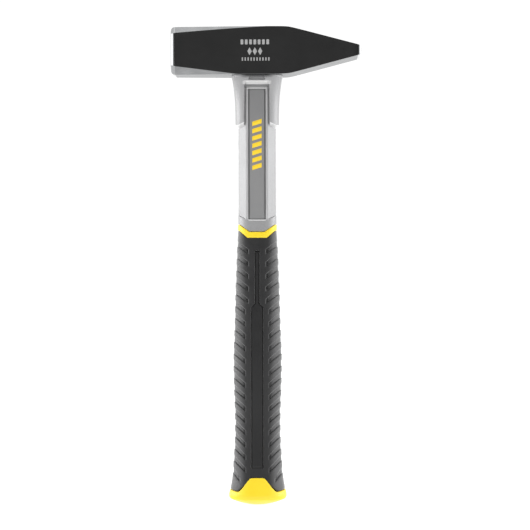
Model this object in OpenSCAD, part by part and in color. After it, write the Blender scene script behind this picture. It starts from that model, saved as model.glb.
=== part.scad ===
// Engineer's cross-pein hammer with a fibreglass core and a moulded, soft-gripped handle.
// The handle stands along +Z with its butt on the origin. The striking face looks along -X, the pein
// along +X, and the two cheeks of the head look along -Y and +Y. All sizes are in millimetres.

/* [Head] */
// Length of the head from the striking face to the tip of the pein
head_length = 130; // [125:1:135]
// Distance of the striking face from the handle's axis
face_reach = 59; // [56:1:62]
// Height of the head along the handle
head_height = 32.5; // [31:0.5:34]
// Depth of the head from cheek to cheek
head_depth = 33; // [32:0.5:34]
// Distance of the start of the pein's taper from the handle's axis
pein_start = 21.5; // [19:0.5:26]
// Thickness of the pein where its rounded tip begins
pein_tip = 8.6; // [7.6:0.2:9]
// Width of the corner chamfers where they meet the striking face
corner_chamfer = 5; // [3:0.5:6]
// Distance along the head over which the upper corner chamfers run out
upper_run = 66; // [56:1:70]
// Distance along the head over which the lower corner chamfers run out
lower_run = 44; // [38:1:46]
// Rounding of the rim of the striking face
face_round = 2.2; // [1:0.1:2.8]
// Length of the oval eye along the head
eye_length = 26; // [25:0.5:27]
// Width of the oval eye across the cheeks
eye_width = 19; // [18:0.5:20]

/* [Handle core] */
// Long side of the fibreglass rod's section
core_length = 19; // [17:0.5:19.5]
// Short side of the fibreglass rod's section
core_width = 12; // [11:0.5:12.5]
// Height of the rod's lower end above the butt
core_foot = 9; // [8:0.5:12]

/* [Shaft sleeve] */
// Overall height of the hammer
total_height = 326; // [324:1:340]
// Width of the slim part of the sleeve
shaft_width = 25.2; // [25:0.2:26]
// Depth of the slim part of the sleeve
shaft_depth = 19.2; // [19:0.2:20]
// Width of the flat front of the slim part, between its two ridges
shaft_flat = 15; // [14.5:0.5:17]
// Width of the collar just under the head
collar_top_width = 33.6; // [32:0.2:35]
// Width of the collar at its lower edge
collar_low_width = 29; // [28:0.5:31]
// Depth of the collar just under the head
collar_top_depth = 27.6; // [26:0.2:29]
// Depth of the collar at its lower edge
collar_low_depth = 23; // [22:0.2:24]
// Height of the collar's lower edge at its outer sides
collar_low_z = 257; // [250:1:262]
// Height of the collar's lower edge beside the panel frame
collar_mid_z = 261; // [259:0.5:266]

/* [Panels] */
// Width of the inlaid panel on the front and on the back of the sleeve
panel_width = 11.8; // [10:0.2:12]
// Height of the panel's lower end above the butt
panel_low = 195; // [194:0.5:200]
// Height of the panel's upper end above the butt
panel_high = 284; // [275:0.5:285]
// Thickness of the panel
panel_thick = 0.9; // [0.5:0.1:1]
// Depth of the panel's pocket in the sleeve
pocket_depth = 1.2; // [1:0.1:1.3]

/* [Grip] */
// Long side of the section of the stiff carrier under the grip
carrier_length = 22.4; // [21:0.2:23]
// Short side of the section of the stiff carrier under the grip
carrier_width = 16.8; // [15:0.2:17.4]
// Height of the trim ring's lower edge at the middle of the handle
ring_low = 182.3; // [181:0.1:183]
// Height of the trim ring's upper edge at the middle of the handle
ring_high = 186.6; // [186:0.1:188]
// Rise of the ring's two edges from the middle of the handle to its sides
ring_rise = 5; // [4:0.5:5.5]
// Width of the wide part of the spine inserts
spine_width = 7.8; // [6:0.2:9]
// Width of the narrow upper part of the spine inserts
spine_neck = 2.8; // [2:0.2:4]
// Depth of the spine inserts' faces below the grip's surface
spine_sink = 0.4; // [0.2:0.1:0.8]
// Exponent of the grip's rounded section, 2 for an ellipse and more for squarer flanks
section_power = 2.5; // [2:0.1:3]
// Facets around the grip's section
section_sides = 40; // [24:4:48]

/* [Hidden] */

$fn = 64;
arc_steps = 6;
far = 400;

half_head = head_height / 2;
half_depth = head_depth / 2;
head_low = total_height - head_height;
head_mid = total_height - half_head;
pein_reach = head_length - face_reach;
// Radius and centre of the round tip, which meets the pein's two slopes at pein_tip
slope = atan((half_head - pein_tip / 2) / (pein_reach - pein_tip / 2 - pein_start));
nose_r = pein_tip / 2 / cos(slope);
nose_x = pein_reach - nose_r;

half_flat = shaft_flat / 2;
shaft_x = shaft_width / 2;
shaft_y = shaft_depth / 2;
facet_edge = 0.6;
facet_y = shaft_y - (shaft_x - facet_edge - half_flat);
collar_round = 2;
collar_corner = 0.45;
window_x = 8.6;
window_splay = 0.9;
window_high = 287;
frame_high = 285.6;
channel_depth = 1.1;
foot_high = 197.6;
foot_mid = 195.2;
foot_stand = 0.5;

ring_high_flat = 5.4;
ring_low_flat = 6.6;
carrier_foot = 7;
carrier_top = ring_low + 1.5;

spine_low = 25.3;
spine_shoulder = 135;
spine_high = 173.7;

cap_peak = 19.3;
cap_peak_half = 4.5;
cap_valley = 9.4;
cap_valley_half = 13.6;
cap_side = 10.5;

// Half width and half depth of the grip and the butt, each with its height above the butt
GRIP = [
    [0, 5, 4],
    [1, 9.9, 7.8],
    [2, 13.6, 10.8],
    [3, 16.4, 13],
    [4, 18.7, 14.8],
    [4.9, 19.4, 15.3],
    [6.2, 19.6, 15.4],
    [10.5, 18.8, 14.6],
    [17.5, 17.6, 13.6],
    [30, 16.7, 12.8],
    [46, 15.8, 12.2],
    [60, 15.7, 12.2],
    [75, 16.2, 12.7],
    [90, 16.6, 13],
    [103, 16.6, 13],
    [119, 16, 12.6],
    [143, 15.3, 11.8],
    [160, 14.6, 11.2],
    [176, 13.9, 10.7],
    [187, 13.1, 10.2],
    [198, 13.1, 10.1]
];

function sgn(v) = v < 0 ? -1 : 1;

// Points of an arc about [cx, cy], from angle a to angle b
function arc(cx, cy, r, a, b) =
    [for (i = [0 : arc_steps]) let (t = a + (b - a) * i / arc_steps) [cx + r * cos(t), cy + r * sin(t)]];

// One ring of the rounded section: |x/w|^p + |y/d|^p = 1 at height z
function section_ring(z, w, d) =
    [for (i = [0 : section_sides - 1])
        let (t = 360 * i / section_sides, c = cos(t), s = sin(t))
        [w * sgn(c) * pow(abs(c), 2 / section_power), d * sgn(s) * pow(abs(s), 2 / section_power), z]];

// Solid through the rounded sections of a station list, drawn in by inset all round
module loft(stations, inset = 0) {
    n = section_sides;
    last = len(stations) - 1;
    rings = [for (s = stations) each section_ring(s[0], s[1] - inset, s[2] - inset)];
    floor_face = [[for (i = [0 : n - 1]) i]];
    roof_face = [[for (i = [n - 1 : -1 : 0]) last * n + i]];
    walls = [for (k = [0 : last - 1]) for (i = [0 : n - 1]) each
        let (a = k * n + i, b = k * n + (i + 1) % n) [[a, a + n, b + n], [a, b + n, b]]];
    polyhedron(points = rings, faces = concat(floor_face, walls, roof_face));
}

// Upright bar of stadium section, length along X and width along Y
module stadium(length, width, low, high) {
    translate([0, 0, low])
        linear_extrude(high - low)
            union() {
                square([length - width, width], center = true);
                for (s = [-1, 1])
                    translate([s * (length - width) / 2, 0])
                        circle(d = width);
            }
}

// Solid with the given outline in X and Z, reaching from depth near to depth deep along Y
module across(points, near = -far, deep = far) {
    translate([0, deep, 0])
        rotate([90, 0, 0])
            linear_extrude(deep - near)
                polygon(points);
}

// Side and plan outlines of the head, both with a rounded rim at the striking face
function head_side() = concat(
    arc(-face_reach + face_round, head_mid - half_head + face_round, face_round, 270, 180),
    arc(-face_reach + face_round, head_mid + half_head - face_round, face_round, 180, 90),
    [[pein_start, head_mid + half_head]],
    arc(nose_x, head_mid, nose_r, 90 - slope, slope - 90),
    [[pein_start, head_mid - half_head]]
);

function head_plan() = concat(
    arc(-face_reach + face_round, -half_depth + face_round, face_round, 270, 180),
    arc(-face_reach + face_round, half_depth - face_round, face_round, 180, 90),
    [[pein_reach + 1, half_depth], [pein_reach + 1, -half_depth]]
);

// Half space beyond one corner chamfer, which runs out to nothing at run from the face
module corner_cut(run) {
    tilt = atan(corner_chamfer / (run * sqrt(2)));
    translate([run - face_reach, half_depth, half_head])
        rotate([-45, 0, 0])
            rotate([0, -tilt, 0])
                translate([0, 0, half_head])
                    cube([far, head_height, head_height], center = true);
}

module head() {
    color("#2c2c2c")
        difference() {
            intersection() {
                across(head_side(), -half_depth, half_depth);
                translate([0, 0, head_low - 1])
                    linear_extrude(head_height + 2)
                        polygon(head_plan());
            }
            for (m = [0, 1])
                mirror([0, m, 0])
                    translate([0, 0, head_mid]) {
                        corner_cut(upper_run);
                        mirror([0, 0, 1])
                            corner_cut(lower_run);
                    }
            stadium(eye_length, eye_width, head_low - 1, total_height + 1);
        }
}

module core_bar() {
    stadium(core_length, core_width, core_foot, total_height);
}

module core() {
    color("#d8d2b8")
        core_bar();
}

module eye_bond() {
    color("#3a3a38")
        difference() {
            stadium(eye_length, eye_width, head_low, total_height);
            core_bar();
        }
}

// Octagonal section of the slim shaft, with narrow sides
function shaft_outline() = [for (s = [[1, 1], [-1, 1], [-1, -1], [1, -1]])
    each let (p = [[shaft_x, facet_y - facet_edge], [shaft_x - facet_edge, facet_y], [half_flat, shaft_y]],
              q = s[0] * s[1] > 0 ? p : [p[2], p[1], p[0]])
    [for (v = q) [v[0] * s[0], v[1] * s[1]]]];

module shaft_bar() {
    translate([0, 0, ring_low])
        linear_extrude(head_low - ring_low)
            polygon(shaft_outline());
}

// Collar seen along one axis: it narrows downwards and its top rim is rounded
function collar_profile(top_half, low_half) = concat(
    [[-low_half, collar_low_z - 1], [low_half, collar_low_z - 1]],
    arc(top_half - collar_round, head_low - collar_round, collar_round, 0, 90),
    arc(-top_half + collar_round, head_low - collar_round, collar_round, 90, 180)
);

module collar_block() {
    intersection() {
        across(collar_profile(collar_top_width / 2, collar_low_width / 2));
        rotate([0, 0, 90])
            across(collar_profile(collar_top_depth / 2, collar_low_depth / 2));
        translate([0, 0, collar_low_z - 1])
            linear_extrude(head_low - collar_low_z + 1)
                polygon([for (s = [[1, 1], [-1, 1], [-1, -1], [1, -1]])
                    each let (w = collar_top_width / 2, d = collar_top_depth / 2, k = collar_corner,
                              p = [[w, d * (1 - k) - 1], [w * (1 - k) + 1, d]],
                              q = s[0] * s[1] > 0 ? p : [p[1], p[0]])
                    [for (v = q) [v[0] * s[0], v[1] * s[1]]]]);
    }
}

// Collar with its lower edge cut to a chevron
module collar() {
    difference() {
        collar_block();
        for (m = [0, 1])
            mirror([m, 0, 0])
                across([[0, collar_low_z - 2], [far, collar_low_z - 2], [far, collar_low_z],
                        [collar_low_width / 2, collar_low_z],
                        [window_x + window_splay, collar_mid_z], [0, collar_mid_z]]);
    }
}

// Window through the collar that leaves the panel frame standing in a narrow channel
module window() {
    difference() {
        across([[-window_x - window_splay, collar_mid_z - 1], [window_x + window_splay, collar_mid_z - 1],
                [window_x, window_high], [-window_x, window_high]], shaft_y - channel_depth, far);
        across([[-half_flat, 0], [half_flat, 0], [half_flat, frame_high], [-half_flat, frame_high]],
               0, shaft_y);
    }
}

// Foot of the sleeve, where it widens a little to meet the ring
module foot() {
    intersection() {
        loft([[ring_low, shaft_x + foot_stand, shaft_y + foot_stand],
              [foot_high + 1, shaft_x + foot_stand, shaft_y + foot_stand]]);
        across([[-far, ring_low], [far, ring_low], [far, foot_high], [shaft_x, foot_high],
                [half_flat, foot_mid], [-half_flat, foot_mid], [-shaft_x, foot_high], [-far, foot_high]]);
    }
}

// Region below an edge that is level in the middle of the handle and rises towards its sides
module below_chevron(mid, flat) {
    across([[-far, 0], [far, 0], [far, mid + ring_rise], [shaft_x, mid + ring_rise],
            [flat, mid], [-flat, mid], [-shaft_x, mid + ring_rise], [-far, mid + ring_rise]]);
}

function panel_outline() = [[-panel_width / 2, panel_low], [panel_width / 2, panel_low],
                            [panel_width / 2, panel_high], [-panel_width / 2, panel_high]];

module pocket() {
    across(panel_outline(), shaft_y - pocket_depth, far);
}

module shaft_sleeve() {
    color("#c4c5c6")
        difference() {
            union() {
                shaft_bar();
                collar();
                foot();
            }
            core_bar();
            below_chevron(ring_high, ring_high_flat);
            for (m = [0, 1])
                mirror([0, m, 0]) {
                    window();
                    pocket();
                }
        }
}

module panel() {
    color("#8c8f92")
        across(panel_outline(), shaft_y - pocket_depth, shaft_y - pocket_depth + panel_thick);
}

module panel_front() {
    mirror([0, 1, 0])
        panel();
}

module panel_back() {
    panel();
}

module trim_ring() {
    color("#ffdc3c")
        difference() {
            intersection() {
                loft(GRIP);
                below_chevron(ring_high, ring_high_flat);
            }
            below_chevron(ring_low, ring_low_flat);
            core_bar();
            carrier_bar();
        }
}

module carrier_bar() {
    stadium(carrier_length, carrier_width, carrier_foot, carrier_top);
}

module carrier() {
    color("#55585a")
        difference() {
            carrier_bar();
            core_bar();
        }
}

// Outline of the spine insert: a narrow neck that flares into a wide blade
function spine_outline() = [
    [-spine_width / 2, spine_low], [spine_width / 2, spine_low],
    [spine_width / 2, spine_shoulder], [spine_neck / 2, spine_shoulder + (spine_width - spine_neck) / 2],
    [spine_neck / 2, spine_high], [-spine_neck / 2, spine_high],
    [-spine_neck / 2, spine_shoulder + (spine_width - spine_neck) / 2], [-spine_width / 2, spine_shoulder]
];

module spine_slot() {
    across(spine_outline(), 0, far);
}

// Region of the butt cap: a raised tongue in the middle, a valley on each side of it
module cap_region() {
    across([[-far, -1], [far, -1], [far, cap_side], [GRIP[7][1], cap_side],
            [cap_valley_half, cap_valley], [cap_peak_half, cap_peak], [-cap_peak_half, cap_peak],
            [-cap_valley_half, cap_valley], [-GRIP[7][1], cap_side], [-far, cap_side]]);
}

module grip() {
    color("#3f4042")
        difference() {
            intersection() {
                loft(GRIP);
                below_chevron(ring_low, ring_low_flat);
            }
            cap_region();
            core_bar();
            carrier_bar();
            for (m = [0, 1])
                mirror([0, m, 0])
                    spine_slot();
        }
}

module spine() {
    color("#2f3032")
        difference() {
            intersection() {
                loft(GRIP, spine_sink);
                spine_slot();
            }
            carrier_bar();
        }
}

module spine_front() {
    mirror([0, 1, 0])
        spine();
}

module spine_back() {
    spine();
}

module butt_cap() {
    color("#ffde2d")
        difference() {
            intersection() {
                loft(GRIP);
                cap_region();
            }
            core_bar();
            carrier_bar();
        }
}

head();
eye_bond();
core();
shaft_sleeve();
panel_front();
panel_back();
trim_ring();
carrier();
grip();
spine_front();
spine_back();
butt_cap();
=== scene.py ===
import math

import bpy
import numpy as np
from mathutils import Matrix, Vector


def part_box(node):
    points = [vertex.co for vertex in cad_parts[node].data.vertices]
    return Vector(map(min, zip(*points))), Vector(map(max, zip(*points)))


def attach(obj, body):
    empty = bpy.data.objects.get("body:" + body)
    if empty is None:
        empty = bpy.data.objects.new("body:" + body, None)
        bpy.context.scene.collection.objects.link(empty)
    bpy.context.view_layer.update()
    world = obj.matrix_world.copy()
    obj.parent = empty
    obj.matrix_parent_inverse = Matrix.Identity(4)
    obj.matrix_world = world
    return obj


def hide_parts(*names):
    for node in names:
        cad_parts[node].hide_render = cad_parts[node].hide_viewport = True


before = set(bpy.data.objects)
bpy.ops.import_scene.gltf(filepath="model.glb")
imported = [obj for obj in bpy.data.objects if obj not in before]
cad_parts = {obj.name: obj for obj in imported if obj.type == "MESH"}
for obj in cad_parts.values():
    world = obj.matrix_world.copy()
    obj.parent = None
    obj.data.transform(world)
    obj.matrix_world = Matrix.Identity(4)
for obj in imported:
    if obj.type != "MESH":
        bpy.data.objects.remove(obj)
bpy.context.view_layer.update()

# Cross-pein hammer: a lacquered and ground steel head on a fibreglass core, with a moulded sleeve,
# inlaid panels, a yellow ring, a ribbed soft grip and a yellow butt cap.
# The frame is in metres with +Z up the handle, -X towards the striking face and -Y towards the viewer.

mm = 0.001


def boxMm(node):  # a CAD node's corners in millimetres
    low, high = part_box(node)
    return np.array(low) / mm, np.array(high) / mm


headLow, headHigh = boxMm("head")
panelLow, panelHigh = boxMm("panel_back")
spineLow, spineHigh = boxMm("spine_back")
eyeLow, eyeHigh = boxMm("eye_bond")
coreLow, coreHigh = boxMm("core")


# ---- colours and materials

# sRGB hex to linear light: a channel up to 0.04045 is divided by 12.92, above that it is
# ((c + 0.055) / 1.055) to the power 2.4
def hexColour(code):
    channels = [int(code[i:i + 2], 16) / 255 for i in (1, 3, 5)]
    return [c / 12.92 if c <= 0.04045 else ((c + 0.055) / 1.055) ** 2.4 for c in channels] + [1.0]


# Adds one node with its settings and links. An input is a plain value or the socket that feeds it, and
# stops are a ramp's two (place, hex) pairs. It hands back one output, or the node itself when out is None.
def addNode(tree, kind, inputs=None, out=0, stops=(), **settings):
    node = tree.nodes.new("ShaderNode" + kind)
    for key, value in settings.items():
        setattr(node, key, value)
    for key, value in (inputs or {}).items():
        if isinstance(value, bpy.types.NodeSocket):
            tree.links.new(value, node.inputs[key])
        else:
            node.inputs[key].default_value = value
    if stops:
        for element, (place, code) in zip(node.color_ramp.elements, stops):
            element.position = place
            element.color = hexColour(code)
    return node if out is None or not node.outputs else node.outputs[out]


def startMaterial(name):  # an empty material, and its tree
    material = bpy.data.materials.new(name)
    material.use_nodes = True
    material.node_tree.nodes.clear()
    return material, material.node_tree


# pattern coordinates in millimetres: the object's own coordinates times 1000, stretched per axis
def patternSpace(tree, stretch=(1, 1, 1)):
    place = addNode(tree, "TexCoord", out="Object")
    return addNode(tree, "Mapping", {"Vector": place, "Scale": [s / mm for s in stretch]})


# Lays a material's surface. Tone runs between the two stops of colour, and each (attribute, hex) pair given
# mixes in a colour where the piece has that attribute: the painted shade and painted highlights of the
# sleeve and the grip, and the lacquer's darker edges. Gloss runs over spread to the two roughnesses, and
# relief stands depth millimetres high over an earlier relief. The rest are the shader's plain values.
def laySurface(material, tone, stops, gloss, roughness, relief, depth,
               spread=(0.3, 0.7), attributeTints=(), under=None, **values):
    tree = material.node_tree
    colour = addNode(tree, "ValToRGB", {"Fac": tone}, stops=stops)
    for attribute, code in attributeTints:
        share = addNode(tree, "Attribute", out="Fac", attribute_name=attribute)
        colour = addNode(tree, "Mix", {0: share, 6: colour, 7: hexColour(code)}, out=2, data_type="RGBA")
    rough = addNode(tree, "MapRange", {"Value": gloss, "From Min": spread[0], "From Max": spread[1],
                                       "To Min": roughness[0], "To Max": roughness[1]})
    heights = {"Height": relief, "Strength": 1.0, "Distance": depth * mm}
    if under is not None:
        heights["Normal"] = under
    inputs = {"Base Color": colour, "Roughness": rough, "Normal": addNode(tree, "Bump", heights)}
    inputs.update({key.replace("_", " "): value for key, value in values.items()})
    shader = addNode(tree, "BsdfPrincipled", inputs)
    addNode(tree, "OutputMaterial", {"Surface": shader})
    return material


# Stoved black lacquer on a forged face: nearly black and satin, with faint clouds 22 mm across, waves of
# 9 mm from the forging and orange peel of 1.1 mm. It is darkest along its edges.
def lacquerMaterial():
    material, tree = startMaterial("stovedBlackLacquer")
    space = patternSpace(tree)
    cloud, gloss, peel, waves = (
        addNode(tree, "TexNoise", {"Vector": space, "Scale": 1 / size, "Detail": detail})
        for size, detail in ((22, 3.0), (5, 3.0), (1.1, 2.0), (9, 2.0)))
    peelRelief = addNode(tree, "Bump", {"Height": peel, "Strength": 1.0, "Distance": 0.012 * mm})
    return laySurface(material, cloud, [(0.3, "#151515"), (0.7, "#1b1b1b")], gloss, (0.36, 0.5), waves,
                      0.05, spread=(0, 1), attributeTints=[("rim", "#0c0c0c")], under=peelRelief,
                      IOR=1.5, Specular_IOR_Level=0.4)


# Belt-ground bare steel: mid grey and a little dull, with grinding lines 0.35 mm apart along the head.
# Real belt lines are finer than that and would not show.
def groundSteelMaterial():
    material, tree = startMaterial("groundSteel")
    lines = addNode(tree, "TexNoise", {"Vector": patternSpace(tree, (0.05, 1, 1)), "Scale": 1 / 0.35,
                                       "Detail": 3.0, "Roughness": 0.65})
    patches = addNode(tree, "TexNoise", {"Vector": patternSpace(tree, (0.4, 1, 1)), "Scale": 1 / 5})
    tone = addNode(tree, "Mix", {0: 0.4, 2: lines, 3: patches}, data_type="FLOAT")
    return laySurface(material, tone, [(0.3, "#7a7b7c"), (0.7, "#9fa0a1")], lines, (0.34, 0.55), lines,
                      0.02, Metallic=1.0)


# Polished and hardened steel of the striking face and the pein's tip: bright, with faint fine lines.
def polishedSteelMaterial():
    material, tree = startMaterial("polishedSteel")
    lines = addNode(tree, "TexNoise", {"Vector": patternSpace(tree, (1, 0.06, 1)), "Scale": 1 / 0.3,
                                       "Roughness": 0.6})
    return laySurface(material, lines, [(0.3, "#939495"), (0.7, "#a3a4a5")], lines, (0.13, 0.2), lines,
                      0.005, Metallic=1.0)


# Moulded polypropylene: an even colour with a very fine spark-eroded grain, grainSize millimetres across,
# and a faint flow cloud. A silver pigment is given by a little metal in the shader.
def polypropyleneMaterial(name, stops, roughness=0.4, grainSize=0.35, grainDepth=0.012, attributeTints=(), **values):
    material, tree = startMaterial(name)
    space = patternSpace(tree)
    cloud = addNode(tree, "TexNoise", {"Vector": space, "Scale": 1 / 14})
    grain = addNode(tree, "TexNoise", {"Vector": space, "Scale": 1 / grainSize, "Roughness": 0.6})
    tone = addNode(tree, "Mix", {0: 0.35, 2: cloud, 3: grain}, data_type="FLOAT")
    return laySurface(material, tone, stops, grain, (roughness - 0.06, roughness + 0.06), grain, grainDepth,
                      attributeTints=attributeTints, IOR=1.49, **values)


# Thermoplastic rubber: dull charcoal with a moulded stipple grainSize millimetres across and a soft sheen
# on the flanks. Creases and recesses carry a painted shade, and rib rims and outer flanks a painted
# highlight.
def elastomerMaterial(name, stops, grainSize, grainDepth, sheen):
    material, tree = startMaterial(name)
    space = patternSpace(tree)
    stipple = addNode(tree, "TexVoronoi", {"Vector": space, "Scale": 1 / grainSize}, feature="SMOOTH_F1")
    cloud = addNode(tree, "TexNoise", {"Vector": space, "Scale": 1 / 9, "Detail": 3.0})
    tone = addNode(tree, "Mix", {0: 0.5, 2: cloud, 3: stipple}, data_type="FLOAT")
    return laySurface(material, tone, stops, cloud, (0.42, 0.55), stipple, grainDepth,
                      # two tints: a near-black painted shade for the creases and a pale painted highlight
                      # for rims and flanks
                      attributeTints=[("paintedShade", "#060606"), ("paintedHighlight", "#7c7c7d")], IOR=1.5,
                      Specular_IOR_Level=0.5, Sheen_Weight=sheen, Sheen_Roughness=0.4)


# Cast epoxy in the eye: dark, glossy, with the odd soft dimple where a bubble closed.
def epoxyMaterial():
    material, tree = startMaterial("castEpoxy")
    space = patternSpace(tree)
    cloud = addNode(tree, "TexNoise", {"Vector": space, "Scale": 1 / 4, "Detail": 3.0})
    dimples = addNode(tree, "TexNoise", {"Vector": space, "Scale": 1 / 1.6})
    return laySurface(material, cloud, [(0.3, "#1f1f1e"), (0.7, "#343432")], cloud, (0.15, 0.35), dimples,
                      0.06, spread=(0, 1), IOR=1.55, Coat_Weight=0.4, Coat_Roughness=0.1)


# Pultruded fibreglass, cut across: straw-coloured resin dotted with the ends of glass rovings 0.6 mm thick.
def fibreglassMaterial():
    material, tree = startMaterial("pultrudedFibreglass")
    space = patternSpace(tree, (1, 1, 0.02))
    rovings = addNode(tree, "TexVoronoi", {"Vector": space, "Scale": 1 / 0.6})
    return laySurface(material, rovings, [(0.15, "#e4dec2"), (0.6, "#b3a878")], rovings, (0.4, 0.65),
                      rovings, 0.03, spread=(0, 1), IOR=1.52)


# Screen ink: flat colour, a little uneven where it covers less.
def inkMaterial(name, stops):
    material, tree = startMaterial(name)
    cover = addNode(tree, "TexNoise", {"Vector": patternSpace(tree), "Scale": 1 / 0.5, "Detail": 3.0,
                                       "Roughness": 0.7})
    return laySurface(material, cover, stops, cover, (0.42, 0.58), cover, 0.006, spread=(0, 1), IOR=1.48)


lacquer = lacquerMaterial()
groundSteel = groundSteelMaterial()
polishedSteel = polishedSteelMaterial()
# the sleeve mixes in a dark painted shade in its pocket's turn and relief, and a near-white painted
# highlight on its bevels and frame
silverSleeve = polypropyleneMaterial("silverPolypropylene", [(0.3, "#9a9a9b"), (0.7, "#a2a2a3")], 0.32,
                                     attributeTints=[("paintedShade", "#4e4e4f"), ("paintedHighlight", "#e0e0e0")], Metallic=0.26)
greyPanel = polypropyleneMaterial("greyPolypropylene", [(0.3, "#828283"), (0.7, "#898989")], 0.45, 0.3)
yellowPlastic = polypropyleneMaterial("yellowPolypropylene", [(0.3, "#f9d82a"), (0.7, "#fde036")],
                                      0.34, 0.5, 0.008)
carrierPlastic = polypropyleneMaterial("darkPolypropylene", [(0.3, "#4a4d4f"), (0.7, "#585b5d")], 0.5)
gripRubber = elastomerMaterial("gripElastomer", [(0.25, "#131314"), (0.7, "#1b1b1c")], 0.45, 0.05, 0.5)
spineRubber = elastomerMaterial("spineElastomer", [(0.25, "#0c0c0d"), (0.7, "#121213")], 0.3, 0.03, 0.05)
epoxy = epoxyMaterial()
fibreglass = fibreglassMaterial()
yellowInk = inkMaterial("yellowInk", [(0.3, "#f3c81c"), (0.65, "#ffdc3a")])
greyInk = inkMaterial("paleGreyInk", [(0.3, "#8a8a8a"), (0.65, "#b4b4b4")])
print("materials made:", len(bpy.data.materials))


# ---- mesh helpers

# mesh from points in millimetres, turned to face outwards if its signed volume, a sixth of the sum of
# p0 . (p1 x p2) over its triangles, comes out negative
def makePiece(name, points, faces, materials, faceMaterial=None, sharpAngle=35, attributes=None):
    points = np.asarray(points, float).reshape(-1, 3)
    volume = 0.0
    for size in (3, 4):
        group = np.array([f for f in faces if len(f) == size], int).reshape(-1, size)
        for k in range(1, size - 1):
            a, b, c = points[group[:, 0]], points[group[:, k]], points[group[:, k + 1]]
            volume += float(np.einsum("ij,ij->i", a, np.cross(b, c)).sum())
    if volume < 0:
        faces = [f[::-1] for f in faces]
    mesh = bpy.data.meshes.new(name)
    mesh.from_pydata((points * mm).tolist(), [], faces)
    for material in materials:
        mesh.materials.append(material)
    if faceMaterial is not None:
        mesh.polygons.foreach_set("material_index", np.asarray(faceMaterial, np.int32))
    mesh.polygons.foreach_set("use_smooth", np.ones(len(faces), bool))
    mesh.set_sharp_from_angle(angle=math.radians(sharpAngle))
    for key, values in (attributes or {}).items():
        layer = mesh.attributes.new(key, "FLOAT", "POINT")
        layer.data.foreach_set("value", np.asarray(values, np.float32).ravel())
    mesh.validate()
    piece = bpy.data.objects.new(name, mesh)
    bpy.context.scene.collection.objects.link(piece)
    return piece


# quads of a grid of rows by columns whose columns run round a closed section; with ring, the last row
# joins the first, which closes a tube with a bore
def gridFaces(rows, columns, ring=False):
    index = np.arange(rows * columns).reshape(rows, columns)
    if ring:
        index = np.vstack([index, index[:1]])
    a, b = index[:-1], index[1:]
    quads = np.stack([a, np.roll(a, -1, 1), np.roll(b, -1, 1), b], axis=-1)
    return quads.reshape(-1, 4).tolist()


def endFaces(rows, columns):  # the two many-sided faces that close a grid's first and last rows
    return [list(range(columns - 1, -1, -1)), list(range((rows - 1) * columns, rows * columns))]


def finishPiece(piece, slot, *nodes):  # rides on the one body and stands for its CAD nodes
    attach(piece, "root")
    if nodes:
        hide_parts(*nodes)
    return piece


# smooth curve through a table of (height, value, value...): a cubic between rows, whose slope at each
# row is the slope between its neighbours
def alongTable(z, table, column):
    table = np.array(sorted(table), float)
    knots, values = table[:, 0], table[:, column]
    slopes = np.gradient(values, knots)
    z = np.clip(np.asarray(z, float), knots[0], knots[-1])
    k = np.clip(np.searchsorted(knots, z, side="right") - 1, 0, len(knots) - 2)
    span = knots[k + 1] - knots[k]
    t = (z - knots[k]) / span
    return (values[k] * (2 * t ** 3 - 3 * t ** 2 + 1) + span * slopes[k] * (t ** 3 - 2 * t ** 2 + t)
            + values[k + 1] * (3 * t ** 2 - 2 * t ** 3) + span * slopes[k + 1] * (t ** 3 - t ** 2))


def straightTable(z, pairs):  # straight lines through (height, value) pairs, level beyond their ends
    return np.interp(z, *zip(*pairs))


def smoothStep(low, high, value):  # 0 below low, 1 above high, 3t^2 - 2t^3 between
    t = np.clip((value - low) / (high - low), 0, 1)
    return t * t * (3 - 2 * t)


def band(value, low, high, soft):  # 1 between low and high, falling to 0 over soft on both sides
    return smoothStep(low - soft, low, value) * (1 - smoothStep(high, high + soft, value))


def softMax(a, b, blend):  # the larger of two, rounded over where they differ by less than blend
    return (a + b + np.sqrt((a - b) ** 2 + blend ** 2)) / 2


def softMin(a, b, blend):
    return -softMax(-a, -b, blend)


ovalPoints = 80  # points round an oval loop


# Oval of two half circles of the given radius about (-spread, 0) and (spread, 0), as a closed loop
def ovalLoop(radius, spread):
    turn = np.radians(np.linspace(-90, 90, ovalPoints // 2))
    right = np.stack([spread + radius * np.cos(turn), radius * np.sin(turn)], -1)
    return np.concatenate([right, -right])


# Closed tube or bar of oval section: one loop for every (radius, height), with flat ends or a bore
def ovalBar(rows, spread, bore=False):
    loops = [np.column_stack([ovalLoop(radius, spread), np.full(ovalPoints, height)])
             for radius, height in rows]
    faces = gridFaces(len(rows), ovalPoints, bore)
    if not bore:
        faces += endFaces(len(rows), ovalPoints)
    return np.concatenate(loops), faces


# A quarter section, from (0, y) round to (x, 0), mirrored into a closed loop for every row at once
def wholeSection(quarter):
    turned = np.ones((3, quarter.shape[-1]))
    turned[0, 1] = turned[1, 0] = turned[1, 1] = turned[2, 0] = -1
    left = quarter[:, -2::-1] * turned[0]
    back = quarter[:, 1:] * turned[1]
    right = quarter[:, -2:0:-1] * turned[2]
    return np.concatenate([quarter, left, back, right], 1)


# ---- head

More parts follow.
